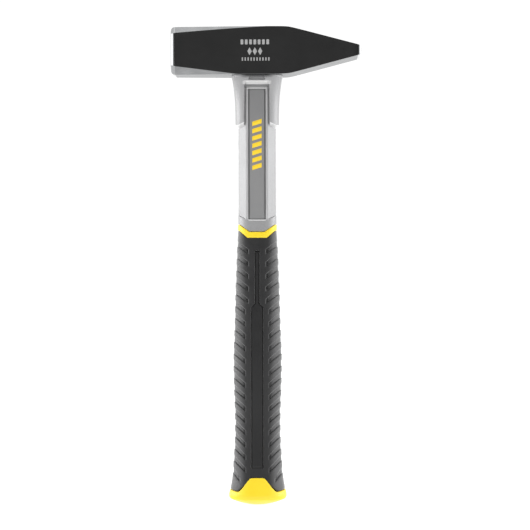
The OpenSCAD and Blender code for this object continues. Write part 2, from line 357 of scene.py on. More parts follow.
headDims = {
    "edgeRound": 0.25,      # rounding of every long edge
    "edgeBevel": 0.12,      # small bevel left on an edge once its corner chamfer has run out
    "upperChamfer": 4.7,    # width of the two upper corner chamfers at the face
    "lowerChamfer": 5.85,
    "upperRun": 69.0,       # length over which they run out
    "lowerRun": 46.0,
    "runPower": (1.25, 1.0),    # above 1 a chamfer runs out on a slight curve
    "rimRound": 3.0,        # rounding of the striking face's rim
    "crown": 0.35,          # height of the face's crown
    "peinStart": 21.5,      # where the pein's taper starts
    "peinBlend": 0.7,       # rounding of that corner
    "tipHalf": 3.16,        # half the pein's thickness at its tip, before the tip is rounded
    "tipPower": 3.0,        # 2 for a half-round tip and more for a blunter one
    "tipRound": 2.0,        # rounding of the pein's two ends
    "lacquerFace": -55.6,   # the lacquer's two ends along the head
    "lacquerPein": 68.75,
    "lacquerEdge": 0.6,     # how far from its ends the lacquer darkens
    "eyeFlare": 0.7,        # countersink at both mouths of the eye
}
# the kinds of surface down half a section, by how many columns start each
headKinds = (["top"] * 5 + ["upperEdge"] * 3 + ["upperChamfer"] * 5 + ["cheekEdge"] * 2 + ["cheek"] * 8
             + ["cheekEdge"] * 2 + ["lowerChamfer"] * 5 + ["lowerEdge"] * 3 + ["bottom"] * 5)


# Columns from the middle of a flat round one corner to the cheek, for half height h, half depth d, chamfer
# c and edge rounding r: two 45 degree arcs of radius r, joined by the chamfer's straight
def cornerColumns(h, d, c, r):
    back = r * math.tan(math.pi / 8)
    arcs = []
    for start, cy, cz in ((90, d - c - back, h - r), (45, d - r, h - c - back)):
        for angle in (start, start - 15, start - 30, start - 45):
            turn = math.radians(angle)
            arcs.append((cy + r * math.cos(turn), cz + r * math.sin(turn)))
    edge = arcs[0][0]
    flat = [(edge * k, h) for k in (0.0, 0.3, 0.6, 0.85)] + [(edge - 0.5 * r, h)]
    straight = [tuple(p + (q - p) * t for p, q in zip(arcs[3], arcs[4])) for t in (0.3, 0.7)]
    return flat + arcs[:4] + straight + arcs[4:]


# Half-section columns from the top centre round one side to the bottom centre, for every station at once.
# The cheek carries a few level ones, and one close to each edge so that the shading stays flat.
def headColumns(h, d, upper, lower, r):
    top = cornerColumns(h, d, upper, r)
    bottom = [(y, -z) for y, z in cornerColumns(h, d, lower, r)][::-1]
    high, low = top[-1][1], bottom[0][1]
    reach = high - low
    nearEdge = [np.minimum(distance, reach * 0.2) for distance in (0.25 * r, 0.9)]
    cheek = [high - e for e in nearEdge] + [high - reach * t for t in (0.2, 0.4, 0.6, 0.8)]
    cheek += [low + e for e in nearEdge[::-1]]
    return top + [(d, z) for z in cheek] + bottom


# The eye is a boolean cut by an oval bar that flares at both mouths
def cutEye(head):
    radius = (eyeHigh[1] - eyeLow[1]) / 2
    spread = (eyeHigh[0] - eyeLow[0]) / 2 - radius
    flare = headDims["eyeFlare"]
    low, high = headLow[2], headHigh[2]
    rows = [(radius + flare + 1, low - 1), (radius, low + flare),
            (radius, high - flare), (radius + flare + 1, high + 1)]
    cutter = makePiece("eyeCutter", *ovalBar(rows, spread), [groundSteel])
    cut = head.modifiers.new("eye", "BOOLEAN")
    cut.operation = "DIFFERENCE"
    cut.object = cutter
    cut.solver = "EXACT"
    cut.material_mode = "TRANSFER"
    graph = bpy.context.evaluated_depsgraph_get()
    mesh = bpy.data.meshes.new_from_object(head.evaluated_get(graph))
    head.modifiers.clear()
    head.data = mesh
    mesh.set_sharp_from_angle(angle=math.radians(30))
    bpy.data.objects.remove(cutter)


# Stations along the head with half height h, half depth d and both chamfers. The height is level, falls in
# a straight line along the pein and is multiplied by cos(t)^(2/p) at the tip, while x follows
# sin(t)^(2/p). The rim of the face draws height and depth in by r (1 - sin t).
def headStations():
    dims = headDims
    faceX, tipX = headLow[0], headHigh[0]
    fullHalf = (headHigh[2] - headLow[2]) / 2
    slope = (fullHalf - dims["tipHalf"]) / (tipX - dims["peinStart"])
    rim = dims["rimRound"]
    rimTurns = np.radians(np.linspace(0, 90, 9))
    xRim = faceX + dims["crown"] + rim * (1 - np.cos(rimTurns))
    xBody = np.concatenate([[dims["lacquerFace"], dims["lacquerFace"] + 0.8], np.arange(-51, 16, 3),
                            np.arange(16, 28, 0.75), np.arange(29, 66, 4), [dims["lacquerPein"] - 0.45]])
    xBody = xBody[xBody > xRim[-1] + 0.02]
    tipTurns = np.radians(np.linspace(0, 89.9, 14))
    xTip = dims["lacquerPein"] + (tipX - dims["lacquerPein"]) * np.sin(tipTurns) ** (2 / dims["tipPower"])
    x = np.concatenate([xRim, xBody, xTip])
    level = len(xBody) + len(xTip)
    inset = np.concatenate([rim * (1 - np.sin(rimTurns)), np.zeros(level)])
    taperHalf = fullHalf - (x - dims["peinStart"]) * slope
    blunt = np.concatenate([np.ones(len(xRim) + len(xBody)), np.cos(tipTurns) ** (2 / dims["tipPower"])])
    h = softMin(fullHalf, taperHalf, dims["peinBlend"]) * blunt - inset
    turned = np.clip(x - (tipX - dims["tipRound"]), 0, dims["tipRound"])
    d = headHigh[1] - inset - (dims["tipRound"] - np.sqrt(dims["tipRound"] ** 2 - turned ** 2))
    smallest = np.minimum(dims["edgeBevel"], h * 0.4)
    chamfers = []
    for side, power in zip(("upper", "lower"), dims["runPower"]):
        runOut = np.clip(1 - (x - faceX) / dims[side + "Run"], 0, 1) ** power
        chamfers.append(np.maximum(dims[side + "Chamfer"] * runOut - 0.586 * inset, smallest))
    return x, h, d, chamfers


# The head is one octagonal section carried along X, closed by a low crown at the face and, at the tip,
# where the last section is a thin slot, by joining the slot's two long sides
def buildHead():
    dims = headDims
    x, h, d, (upper, lower) = headStations()
    r = np.minimum(dims["edgeRound"], h * 0.25)
    columns = headColumns(h, d, upper, lower, r)
    half = np.stack([np.stack(np.broadcast_arrays(x, y, z), -1) for y, z in columns], 1)
    section = np.concatenate([half, half[:, -2:0:-1] * [1, -1, 1]], 1)
    middle = (headLow[2] + headHigh[2]) / 2
    faceX = headLow[0]
    crownSteps = (0.35, 0.6, 0.8, 0.93)
    crownRows = np.stack([section[0] * [0, s, s] + [faceX + dims["crown"] * s * s, 0, 0]
                          for s in crownSteps])
    rows = np.concatenate([crownRows, section])
    count = rows.shape[1]
    points = rows.reshape(-1, 3) + [0, 0, middle]
    faces = gridFaces(len(rows), count)
    pole = len(points)
    points = np.vstack([points, [faceX, 0, middle]])
    faces += [[pole, (i + 1) % count, i] for i in range(count)]
    last = (len(rows) - 1) * count
    bottom = len(headKinds) - 1
    corner = headKinds.index("cheek") - 2
    for i in range(corner):
        faces.append([last + i, last + i + 1, last + bottom - i - 1, last + bottom - i])
        faces.append([last + (count - k) % count for k in (i + 1, i, bottom - i, bottom - i - 1)])
    slotEnd = list(range(corner, bottom - corner + 1))
    faces.append([last + k for k in slotEnd])
    faces.append([last + count - k for k in slotEnd[::-1]])

    # lacquer on the cheeks and on the top edge past its chamfer, polished ends, ground steel elsewhere
    quadKinds = np.array(headKinds[:-1] + headKinds[:-1][::-1])[None, :]
    isCheek = np.isin(quadKinds, ["cheek", "cheekEdge"])
    chamferGone = np.concatenate([np.full(len(crownRows), False), upper <= dims["edgeBevel"] + 0.02])
    isTopEdge = np.isin(quadKinds, ["upperEdge", "upperChamfer"]) & chamferGone[:-1, None]
    stationX = rows[:, 0, 0]
    xMiddle = ((stationX[:-1] + stationX[1:]) / 2)[:, None]
    between = (xMiddle > dims["lacquerFace"]) & (xMiddle < dims["lacquerPein"])
    index = np.where(between, np.where(isCheek | isTopEdge, 0, 1), 2).ravel()
    index = np.concatenate([index, np.full(len(faces) - len(index), 2)])
    isEdge = np.isin(headKinds, ["upperEdge", "upperChamfer", "cheekEdge", "lowerEdge", "lowerChamfer"])
    isEdge = np.concatenate([isEdge, isEdge[-2:0:-1]])
    toEnd = np.minimum(np.abs(stationX - dims["lacquerFace"]), np.abs(stationX - dims["lacquerPein"]))
    rim = isEdge[None, :] | (toEnd < dims["lacquerEdge"])[:, None]
    head = makePiece("hammerHead", points, faces, [lacquer, groundSteel, polishedSteel], index, 30,
                     {"rim": np.append(rim.ravel(), False)})
    cutEye(head)
    return head


head = finishPiece(buildHead(), "lacquered_steel", "head")
print("head built:", len(head.data.polygons), "faces")


# ---- eye: the epoxy round the core, and the core itself

eyeDims = {
    "sink": 0.5,        # depth of the epoxy's dished surface
    "coreSink": 0.25,   # depth of the core's cut end below the top of the head
    "coreBevel": 0.3,
}


# Epoxy: an oval ring whose top is dished between the eye's wall and the core, sink sin(pi s)^0.6 deep
def buildEye():
    dims = eyeDims
    outer = (eyeHigh[1] - eyeLow[1]) / 2
    inner = (coreHigh[1] - coreLow[1]) / 2
    spread = (eyeHigh[0] - eyeLow[0]) / 2 - outer
    top, low = eyeHigh[2], eyeLow[2]
    dish = [(outer + (inner - outer) * s, top - 0.15 - dims["sink"] * math.sin(math.pi * s) ** 0.6)
            for s in np.linspace(0, 1, 9)]
    rows = [(outer, low + 0.1), (outer, (low + top) / 2)] + dish + [(inner, low + 0.1)]
    bond = makePiece("eyeEpoxy", *ovalBar(rows, spread, True), [epoxy], None, 50)
    finishPiece(bond, "epoxy_resin", "eye_bond")
    bevel = dims["coreBevel"]
    end = coreHigh[2] - dims["coreSink"]
    rows = [(inner - bevel, coreLow[2]), (inner, coreLow[2] + bevel), (inner, end - bevel),
            (inner - bevel * 0.3, end - bevel * 0.3), (inner - bevel, end), (inner * 0.5, end + 0.03)]
    bar = makePiece("fibreglassCore", *ovalBar(rows, spread), [fibreglass], None, 40)
    finishPiece(bar, "fibreglass", "core")


buildEye()
print("eye filled")


# ---- shared shape of the grip, the ring and the butt cap

# half width and half depth of the handle's rounded section, each with its height above the butt
handleStations = [
    (0, 5, 4), (1, 9.9, 7.8), (2, 13.6, 10.8), (3, 16.4, 13), (4, 18.7, 14.8), (4.9, 19.4, 15.3),
    (6.2, 19.6, 15.4), (10.5, 18.8, 14.6), (17.5, 17.6, 13.6), (30, 16.7, 12.8), (46, 15.8, 12.2),
    (60, 15.7, 12.2), (75, 16.2, 12.7), (90, 16.6, 13), (103, 16.6, 13), (119, 16, 12.6),
    (143, 15.3, 11.8), (160, 14.6, 11.2), (176, 13.9, 10.7), (187, 13.1, 10.2), (198, 13.1, 10.1),
]
boreSpread = 2.8  # half the distance between the centres of the carrier's two round sides


def sectionPower(z):  # squarer towards the ring, where the handle meets the sleeve's foot
    return 2.5 + 0.5 * smoothStep(165, 187, z)


# y of the rounded section |x/w|^p + |y/d|^p = 1 at x
def sectionDepth(x, w, d, p):
    return d * np.maximum(1 - np.minimum(np.abs(x) / w, 1) ** p, 0) ** (1 / p)


# quarter columns of the rounded section for every row: first at the given x, which may vary by row, then
# steps of equal parameter t from there to the side, with x = w cos(t)^(2/p), y = d sin(t)^(2/p)
def sectionColumns(nearX, steps, w, d, p):
    w, d, p = (np.broadcast_to(np.asarray(v, float), nearX.shape[:1])[:, None] for v in (w, d, p))
    nearY = sectionDepth(nearX, w, d, p)
    start = np.arccos(np.clip(nearX[:, -1:] / w, 0, 1) ** (p / 2))
    turn = start * (1 - np.arange(1, steps + 1) / steps)
    farX = w * np.cos(turn) ** (2 / p)
    farY = d * np.sin(np.maximum(turn, 0)) ** (2 / p)
    return np.concatenate([nearX, farX], 1), np.concatenate([nearY, farY], 1)


# points of the oval bore over the carrier, in the same directions as the given outer points
def boreUnder(x, y, radius):
    angle = np.arctan2(y, x)
    across, side = np.abs(np.cos(angle)), np.abs(np.sin(angle))
    flatReach = radius / np.maximum(side, 1e-6)
    roundReach = boreSpread * across + np.sqrt(np.maximum(radius ** 2 - (boreSpread * side) ** 2, 0))
    reach = np.where(flatReach * across <= boreSpread, flatReach, roundReach)
    return reach * np.cos(angle), reach * np.sin(angle)


def withBore(section, radius):  # adds the bore's two loops, at the heights of the last and first rows
    bore = np.zeros_like(section[:2])
    bore[:, :, 0], bore[:, :, 1] = boreUnder(section[0, :, 0], section[0, :, 1], radius)
    bore[:, :, 2] = section[[-1, 0], :, 2]
    return np.concatenate([section, bore])


def ringLowEdge(x):  # the ring's two edges are level in the middle and rise towards the sides
    return 182.3 + 5 * np.clip((np.abs(x) - 6.6) / 6, 0, 1)


def ringHighEdge(x):
    return 186.45 + 5 * np.clip((np.abs(x) - 5.4) / 7.2, 0, 1)


def capEdge(x):  # the cap's upper edge: a tongue in the middle, falling to a rounded valley on each side
    x = np.abs(x)
    tongue = 18.95 - 1.3 * softMax(x - 5.0, 0, 0.7)
    side = 9.15 + 0.22 * (x - 13.6)
    return softMax(tongue, side, 1.3)


# ---- sleeve

sleeveDims = {
    "ridge": 7.5,             # half width of the slim part's flat front
    "facetEnd": (12.0, 5.6),  # x and y where the bevelled facet beside it ends
    "shaftHalf": (12.75, 9.6),      # half width and half depth of the slim part
    "footHalf": (13.05, 10.05),     # and of its foot on the ring
    "footPower": 3.0,
    "pocketHalf": 5.93,       # half width of the panel's pocket
    "pocketFloor": 8.4,
    "channelFloor": 9.0,      # depth of the two channels beside the frame, inside the collar's window
    "channelRise": (259, 268),      # heights over which they reach that depth
    "windowHalf": 8.45,       # half width of the collar's window at its top
    "windowSplay": 0.1,       # how much wider it is at its foot
    "collarFoot": 257,        # height where the collar starts to flare
    "collarLow": (14.9, 11.6),      # half width and half depth at the collar's lower edge
    "collarHigh": (17.7, 13.8),
    "collarPower": 3.3,
    "cornerLift": (12.4, 2.0, 0.4),     # where the collar's lower edge turns up, over what width, how far
    "relief": (5.5, 0.8),     # half width and depth of the shallow relief under the head
    "frameMiddle": (6.7, 0.8),      # middle and half width of the raised frame round the pocket
    "frameHeight": 0.25,
}
# The sleeve's rows from the ring to the head: height in the middle and at the sides, share of the rounded
# foot, share of the collar, pocket (1 where it is cut), depth of the middle, and how far drawn in. A middle
# without a depth follows the shaft, and 99 follows the collar.
sleeveRows = [
    (186.3, 191.3, 1, 0, 0, None, 2.5), (186.6, 191.6, 1, 0, 0, None, 0.5),
    (186.8, 191.8, 1, 0, 0, None, 0.15), (187.1, 192.1, 1, 0, 0, None, 0), (189.5, 193.6, 1, 0, 0, None, 0),
    (191.5, 195.2, 1, 0, 0, None, 0), (193.0, 196.4, 1, 0, 0, None, 0), (193.7, 196.9, 1, 0, 0, None, 0),
    (194.1, 197.2, 0.85, 0, 0, None, 0), (194.4, 197.4, 0.3, 0, 0, None, 0),
    (194.6, 197.55, -0.25, 0, 0, None, 0), (194.75, 197.75, 0, 0, 0, None, 0),
    (194.95, 197.95, 0, 0, 0, None, 0), (195.05, 198.1, 0, 0, 1, None, 0), (198, 200, 0, 0, 1, None, 0),
    (205, 206, 0, 0, 1, None, 0), (220, 220, 0, 0, 1, None, 0), (235, 235, 0, 0, 1, None, 0),
    (248, 247, 0, 0, 1, None, 0), (256, 253.5, 0, 0, 1, None, 0), (259.1, 256.2, 0, 0, 1, None, 0),
    (259.3, 256.4, 0, 0, 1, None, 0), (260.9, 258.5, 0, 0.93, 1, None, 0),
    (261.2, 258.8, 0, 0.985, 1, None, 0), (261.6, 259.3, 0, 1, 1, None, 0), (264, 262, 0, 1, 1, None, 0),
    (268, 267, 0, 1, 1, None, 0), (274, 274, 0, 1, 1, None, 0), (280, 280, 0, 1, 1, None, 0),
    (283.9, 283.9, 0, 1, 1, None, 0), (284.0, 284.0, 0, 1, 0, None, 0), (284.15, 284.15, 0, 1, 0, 9.66, 0),
    (284.35, 284.35, 0, 1, 0, 9.56, 0), (285.35, 285.35, 0, 1, 0, 8.65, 0), (285.5, 285.5, 0, 1, 0, 8.4, 0),
    (286.85, 286.85, 0, 1, 0, 8.4, 0), (286.95, 286.95, 0, 1, 0, 9.6, 0),
    (287.15, 287.15, 0, 1, 0, 10.1, 0), (289.1, 289.1, 0, 1, 0, 12.75, 0),
    (289.45, 289.45, 0, 1, 0, 13.1, 0), (289.8, 289.8, 0, 1, 0, 13.3, 0), (290.6, 290.6, 0, 1, 0, 99, 0),
    (291.5, 291.5, 0, 1, 0, 99, 0), (292.1, 292.1, 0, 1, 0, 99, 0.1), (292.7, 292.7, 0, 1, 0, 99, 0.4),
    (293.2, 293.2, 0, 1, 0, 99, 0.95), (293.45, 293.45, 0, 1, 0, 99, 1.7),
    (293.48, 293.48, 0, 1, 0, 99, 4.0),
]


# y of the slim part's front: level to the ridge, straight down the facet, then a 45 degree corner
def shaftDepth(x):
    ridge, halfY = sleeveDims["ridge"], sleeveDims["shaftHalf"][1]
    endX, endY = sleeveDims["facetEnd"]
    slope = (halfY - endY) / (endX - ridge)
    return np.where(x <= ridge, halfY, np.where(x <= endX, halfY - (x - ridge) * slope, endY - (x - endX)))


# One grid of rows by columns. Below the collar a row is the eight-sided shaft, above it the rounded
# collar, and the columns keep to the pocket, the frame, its channel and the window's wall.
def buildSleeve():
    dims = sleeveDims
    ridge, pocketHalf = dims["ridge"], dims["pocketHalf"]
    halfX, halfY = dims["shaftHalf"]
    footX, footY = dims["footHalf"]
    table = np.array([[np.nan if v is None else v for v in row] for row in sleeveRows])
    zMiddle, zSide, foot, collar, pocket, middleY, inset = (table[:, k:k + 1] for k in range(7))
    isShaft = np.isnan(middleY)
    middleY = np.nan_to_num(middleY)
    flare = np.clip((zMiddle - dims["collarFoot"]) / (headLow[2] - dims["collarFoot"]), 0, 1) ** 3
    collarX, collarY = (a + (b - a) * flare for a, b in zip(dims["collarLow"], dims["collarHigh"]))
    power = dims["collarPower"]
    window = dims["windowHalf"] + dims["windowSplay"] * np.clip((287 - zMiddle) / 26, 0, 1)
    window = np.where(zMiddle < 259.2, dims["windowHalf"] + dims["windowSplay"] - 0.4, window)

    # columns over the pocket and the frame
    inner = np.array([0, 2.6, 4.6, 5.2, pocketHalf - 0.16, pocketHalf - 0.06, pocketHalf, pocketHalf + 0.15,
                      pocketHalf + 0.35, 6.7, ridge - 0.35, ridge - 0.1, ridge, ridge + 0.12])
    inner = np.tile(inner, (len(table), 1))
    shaft = shaftDepth(inner) + np.where(np.abs(inner - ridge) < 0.01, -0.06, 0)
    frameX, frameHalf = dims["frameMiddle"]
    crown = np.maximum(1 - ((inner - frameX) / frameHalf) ** 2, 0) * (inner > 6)
    shaft = shaft + dims["frameHeight"] * crown * smoothStep(194.7, 195.6, zMiddle)
    innerY = shaft + (sectionDepth(inner, footX, footY, dims["footPower"]) - shaft) * foot
    innerY = np.where((pocket > 0.5) & (inner < pocketHalf - 0.03), dims["pocketFloor"], innerY)
    innerY = np.where((pocket > 0.5) & (np.abs(inner - pocketHalf) < 0.01), innerY - 0.06, innerY)
    topY = sectionDepth(inner, collarX, collarY, power)
    innerY = np.where(isShaft, innerY, np.minimum(middleY, topY))
    innerY[:, -1:] = np.where(isShaft, innerY[:, -1:], innerY[:, -2:-1])

    # columns over the channel's floor, up the window's wall and onto the collar
    ditch = np.concatenate([np.full_like(window, ridge + 0.16), window - 0.05, window, window + 0.12,
                            window + 0.4], 1)
    shaft = shaftDepth(ditch)
    base = shaft + (sectionDepth(ditch, footX, footY, dims["footPower"]) - shaft) * foot
    wall = sectionDepth(ditch, collarX, collarY, power)
    ditchY = base + (wall - np.array([0, 0, 0.4, 0.12, 0.0]) - base) * collar
    channel = base + (dims["channelFloor"] - base) * smoothStep(*dims["channelRise"], zMiddle)
    ditchMiddle = np.minimum(middleY, wall)
    ditchY[:, :2] = np.where(isShaft, channel[:, :2], ditchMiddle[:, :2])
    ditchY = np.where(middleY > 13, np.maximum(ditchY, ditchMiddle), ditchY)

    # columns from there round to the side
    shaftX = np.array([10.1, 10.8, 11.4, 11.85, 12.0, 12.3, 12.6] + [halfX] * 5)
    shaftY = np.array([0, 0, 0, 0, 5.6, 5.36, 5.1, 4.8, 3.6, 2.4, 1.2, 0])
    shaftY[:4] = shaftDepth(shaftX[:4])
    collarColumns = sectionColumns(window + 0.4, len(shaftX), collarX[:, 0], collarY[:, 0], power)
    footColumns = sectionColumns(window + 0.4, len(shaftX), footX, footY, dims["footPower"])
    outer = [shaft + (footColumn[:, 1:] - shaft) * foot
             for shaft, footColumn in zip((shaftX, shaftY), footColumns)]
    outer = [value + (collarColumn[:, 1:] - value) * collar
             for value, collarColumn in zip(outer, collarColumns)]
    x = np.concatenate([inner, ditch, outer[0]], 1)
    y = np.concatenate([innerY, ditchY, outer[1]], 1)

    # rows rise towards the sides, the collar's corners turn up and the relief is sunk in
    rise = np.clip((x - np.where(zMiddle > 200, 8.6, 6.0)) / np.where(zMiddle > 200, 5.0, 6.6), 0, 1)
    rise = np.where(zMiddle < 194, np.clip((x - 5.4) / 7.2, 0, 1), rise)
    liftX, liftWidth, lift = dims["cornerLift"]
    z = zMiddle + (zSide - zMiddle) * rise
    z = z + lift * np.clip((x - liftX) / liftWidth, 0, 1) * (1 - smoothStep(262, 272, zMiddle))
    reliefHalf, reliefDepth = dims["relief"]
    reliefShare = 1 - smoothStep(reliefHalf - 0.3, reliefHalf + 0.3, x)
    y = y - reliefDepth * smoothStep(289.7, 290.7, zMiddle) * reliefShare

    # painted shade in the pocket's turn and the relief under the head, and painted highlights on every
    # raised
    # edge: the hood, the frame, the pocket's sill and the collar's bevel
    paintedShade = np.maximum(0.6 * band(x, 5.1, 5.95, 0.1) * pocket,
                        0.35 * band(zMiddle, 290.2, 292.6, 0.5) * (x < reliefHalf + 0.2))
    hood = band(zMiddle, 287.15, 289.2, 0.15) * (1 - smoothStep(8.3, 9.6, x))
    frameTop = band(zMiddle, 284.15, 285.35, 0.1) * (x < 6.9)
    pocketSill = band(zMiddle, 193.9, 194.7, 0.2) * (x < 6)
    collarBevel = band(zMiddle, 259.3, 261.3, 0.2) * (x > 8.8)
    frameSide = band(x, 6.1, 7.3, 0.1) * band(zMiddle, 196, 284, 2)
    paintedHighlight = np.maximum.reduce([hood, frameTop, 0.7 * pocketSill, collarBevel, 0.35 * frameSide])

    # the first and last rows are drawn in, the last ones less towards the sides, where they meet the head
    atHead = (zMiddle > 292) & (inset < 3)
    inset = inset * np.where(atHead, 1 - 0.9 * smoothStep(7.5, 11, x), 1)
    x, y = x * (1 - inset / halfX), y * (1 - inset / halfY)
    section = wholeSection(np.stack([x, y, z, paintedShade, paintedHighlight], -1))
    rows, count = section.shape[:2]
    faces = gridFaces(rows, count) + endFaces(rows, count)
    attributeTints = {"paintedShade": section[:, :, 3], "paintedHighlight": section[:, :, 4]}
    return makePiece("shaftSleeve", section[:, :, :3], faces, [silverSleeve], None, 24, attributeTints)


sleeve = finishPiece(buildSleeve(), "silver_grey_polypropylene", "shaft_sleeve")
print("sleeve moulded:", len(sleeve.data.polygons), "faces")


# ---- flat slabs: the two panels and the printed marks

# closed loop of a rectangle with round corners, centred on (cx, cz)
def roundedLoop(cx, cz, halfX, halfZ, radius, steps=7):
    turn = np.radians(np.linspace(0, 90, steps))
    corner = np.stack([halfX - radius + radius * np.cos(turn), halfZ - radius + radius * np.sin(turn)], -1)
    return np.concatenate([corner, (corner * [-1, 1])[::-1], -corner, (corner * [1, -1])[::-1]]) + [cx, cz]


# Slabs under closed outlines, standing from depth yLow to yHigh. Their upper edge is a quarter round of
# size edge, made by drawing an outline towards its own middle.
def buildSlabs(name, outlines, yLow, yHigh, edge, side, material):
    points, faces = [], []
    for outline in outlines:
        start = sum(len(p) for p in points)
        middle = (outline.min(0) + outline.max(0)) / 2
        reach = (outline.max(0) - outline.min(0)) / 2
        profile = [(yLow, 0)]
        profile += [(yHigh - edge * (1 - math.sin(t)), edge * (1 - math.cos(t)))
                    for t in np.radians([0, 30, 60, 90])]
        for y, inset in profile:
            loop = middle + (outline - middle) * (1 - inset / reach)
            points.append(np.column_stack([loop[:, 0], np.full(len(loop), side * y), loop[:, 1]]))
        new = gridFaces(len(profile), len(outline)) + endFaces(len(profile), len(outline))
        faces += [[start + v for v in face] for face in new]
    return makePiece(name, np.concatenate(points), faces, [material], None, 40)


panelDims = {
    "gap": 0.75,          # gap between the panel's edge and its pocket, at the sides
    "endGap": 0.35,       # and at the two ends
    "cornerRadius": 0.8,
    "edge": 0.28,
    "face": 9.32,         # depth of the panel's face from the middle of the handle
    "markCount": 7,       # slanted bars printed on each panel
    "markHalf": 3.2,
    "markLow": 228.5,
    "markHigh": 263.5,
    "inkSink": 0.05,      # how far the ink reaches into the panel, and how far it stands proud
    "inkHeight": 0.05,
    "inkEdge": 0.04,
}


# the printed bars are parallelograms: each rises across its width by 0.4 of the pitch
def slantedBars():
    dims = panelDims
    pitch = (dims["markHigh"] - dims["markLow"]) / dims["markCount"]
    corners = ((1, 0.5), (-1, 0.1), (-1, -0.5), (1, -0.1))
    return [np.array([(dims["markHalf"] * across, dims["markLow"] + pitch * (k + 0.5 + up))
                      for across, up in corners]) for k in range(dims["markCount"])]


def buildPanels():
    dims = panelDims
    low, high = panelLow[2], panelHigh[2]
    halfX, halfZ = sleeveDims["pocketHalf"] - dims["gap"], (high - low) / 2 - dims["endGap"]
    outline = roundedLoop(0, (low + high) / 2, halfX, halfZ, dims["cornerRadius"])
    back, face = panelLow[1] - 0.02, dims["face"]
    for side, name in ((-1, "front"), (1, "back")):
        panel = buildSlabs(name + "Panel", [outline], back, face, dims["edge"], side, greyPanel)
        finishPiece(panel, "mid_grey_polypropylene", "panel_" + name)
        marks = buildSlabs(name + "PanelBars", slantedBars(), face - dims["inkSink"],
                           face + dims["inkHeight"], dims["inkEdge"], side, yellowInk)
        finishPiece(marks, "yellow_polypropylene")


buildPanels()

headMarkDims = {
    "middle": -1.15,       # the printed block's centre along the head
    "upperRow": (315.2, 10.2, 1.7),   # height, half length and half height of each row
    "middleRow": (308.9, 5.0, 2.7),
    "lowerRow": (303.6, 10.0, 1.15),
    "inkSink": 0.05,
    "inkHeight": 0.04,
    "inkEdge": 0.02,
}


# Printed block on each cheek: a row of blocks, three diamonds and a row of dashes
def buildHeadMarks():
    dims = headMarkDims
    outlines = []
    z, half, tall = dims["upperRow"]
    for k in range(7):
        cx = dims["middle"] + half * (k - 3) / 3.5
        outlines.append(roundedLoop(cx, z, half / 3.5 * 0.32, tall, 0.45, 4))
    z, half, tall = dims["middleRow"]
    for k in range(3):
        cx = dims["middle"] + half * (k - 1) * 0.72
        outlines.append(np.array([(cx + half * 0.3, z), (cx, z + tall),
                                  (cx - half * 0.3, z), (cx, z - tall)]))
    z, half, tall = dims["lowerRow"]
    for k in range(10):
        cx = dims["middle"] + half * (k - 4.25) / 5
        outlines.append(roundedLoop(cx, z, half / 5 * 0.22, tall, 0.2, 4))
    cheek = headHigh[1]
    for side, name in ((-1, "front"), (1, "back")):
        marks = buildSlabs(name + "CheekMarks", outlines, cheek - dims["inkSink"], cheek + dims["inkHeight"],
                           dims["inkEdge"], side, greyInk)
        finishPiece(marks, "silver_grey_polypropylene")


buildHeadMarks()
print("panels and printed marks laid")


# ---- trim ring

ringDims = {
    "gap": 0.12,        # half the width of the grooves above and below it
    "round": 0.35,      # rounding of its corners
    "stand": 0.25,      # how far it stands proud of the handle's section
    "middle": 187.0,    # height whose section gives its columns
    "power": 3.0,
    "boreRadius": 8.4,
}


# The ring is a profile carried round the handle: its height runs between two chevron edges, and its own
# section has rounded corners and a bore over the carrier
def buildRing():
    dims = ringDims
    nearX = np.array([0, 1.4, 2.8, 4.1, 5.1, 5.4, 5.7, 6.3, 6.6, 6.9, 7.8, 8.7])
    turns = np.radians([0, 22, 45, 67, 90])
    profile = [(0.0, -3.0), (0.0, -0.6)]
    profile += [(dims["round"] * (1 - math.cos(t)), -dims["round"] * (1 - math.sin(t))) for t in turns]
    rows = [(0, along, inset) for along, inset in profile] + [(0.33, 0, 0), (0.67, 0, 0)]
    rows += [(1, -along, inset) for along, inset in profile[::-1]]
    share, along, inset = (np.array(v)[:, None] for v in zip(*rows))
    w, d = (alongTable(dims["middle"], handleStations, k) + dims["stand"] for k in (1, 2))
    x, y = sectionColumns(np.tile(nearX, (len(rows), 1)), 14, w, d, dims["power"])
    z = (1 - share) * (ringLowEdge(x) + dims["gap"]) + share * (ringHighEdge(x) - dims["gap"]) + along
    slim = (alongTable(z, handleStations, 1) + dims["stand"]) / w
    quarter = np.stack([x * slim * (1 + inset / w), y * slim * (1 + inset / d), z], -1)
    section = withBore(wholeSection(quarter), dims["boreRadius"])
    faces = gridFaces(*section.shape[:2], True)
    return makePiece("trimRing", section, faces, [yellowPlastic], None, 40)


finishPiece(buildRing(), "yellow_polypropylene", "trim_ring")
print("ring fitted")


# ---- grip

gripDims = {
    "ribs": 20,              # grooves down each flank
    "firstLine": 176.2,      # height of the uppermost groove at the handle's silhouette
    "pitch": 8.142,
    "upperRibs": 5,          # how many of them reach closer to the spine
    "upperEnds": 6.3,        # where those end beside the spine
    "lowerEnds": 8.3,        # where the others end
    "lastEnds": 12.3,        # where the lowest one ends, and between what widths it fades in
    "lastFade": (11.3, 13.3),
    "depth": (0.65, 0.5),    # depth of the grooves at the bottom and at the top
    "crease": 0.5,           # extra depth of the narrow crease along each groove's line
    "fallStart": (3.3, 1.9),    # where a rib starts to fall, above the lower line: inside, and more outside
    "fallEnd": (2.7, 0.15),     # and where it stops
    "fullGap": 8.1,          # distance between two lines at which those heights are full size
    "slot": (4.15, 1.65),    # half width of the spine's slot, and of its neck
    "slotDepth": 1.5,
    "shoulder": (134.95, 137.45),   # heights between which the slot narrows
    "slotEnds": (25.2, 173.8),
    "boreRadius": 8.42,
}
# how steeply a groove falls towards the middle, in mm per mm, by its height at the silhouette
grooveSlopes = [(21.5, 1.05), (25, 0.95), (29, 0.85), (100, 0.75), (176, 0.62)]
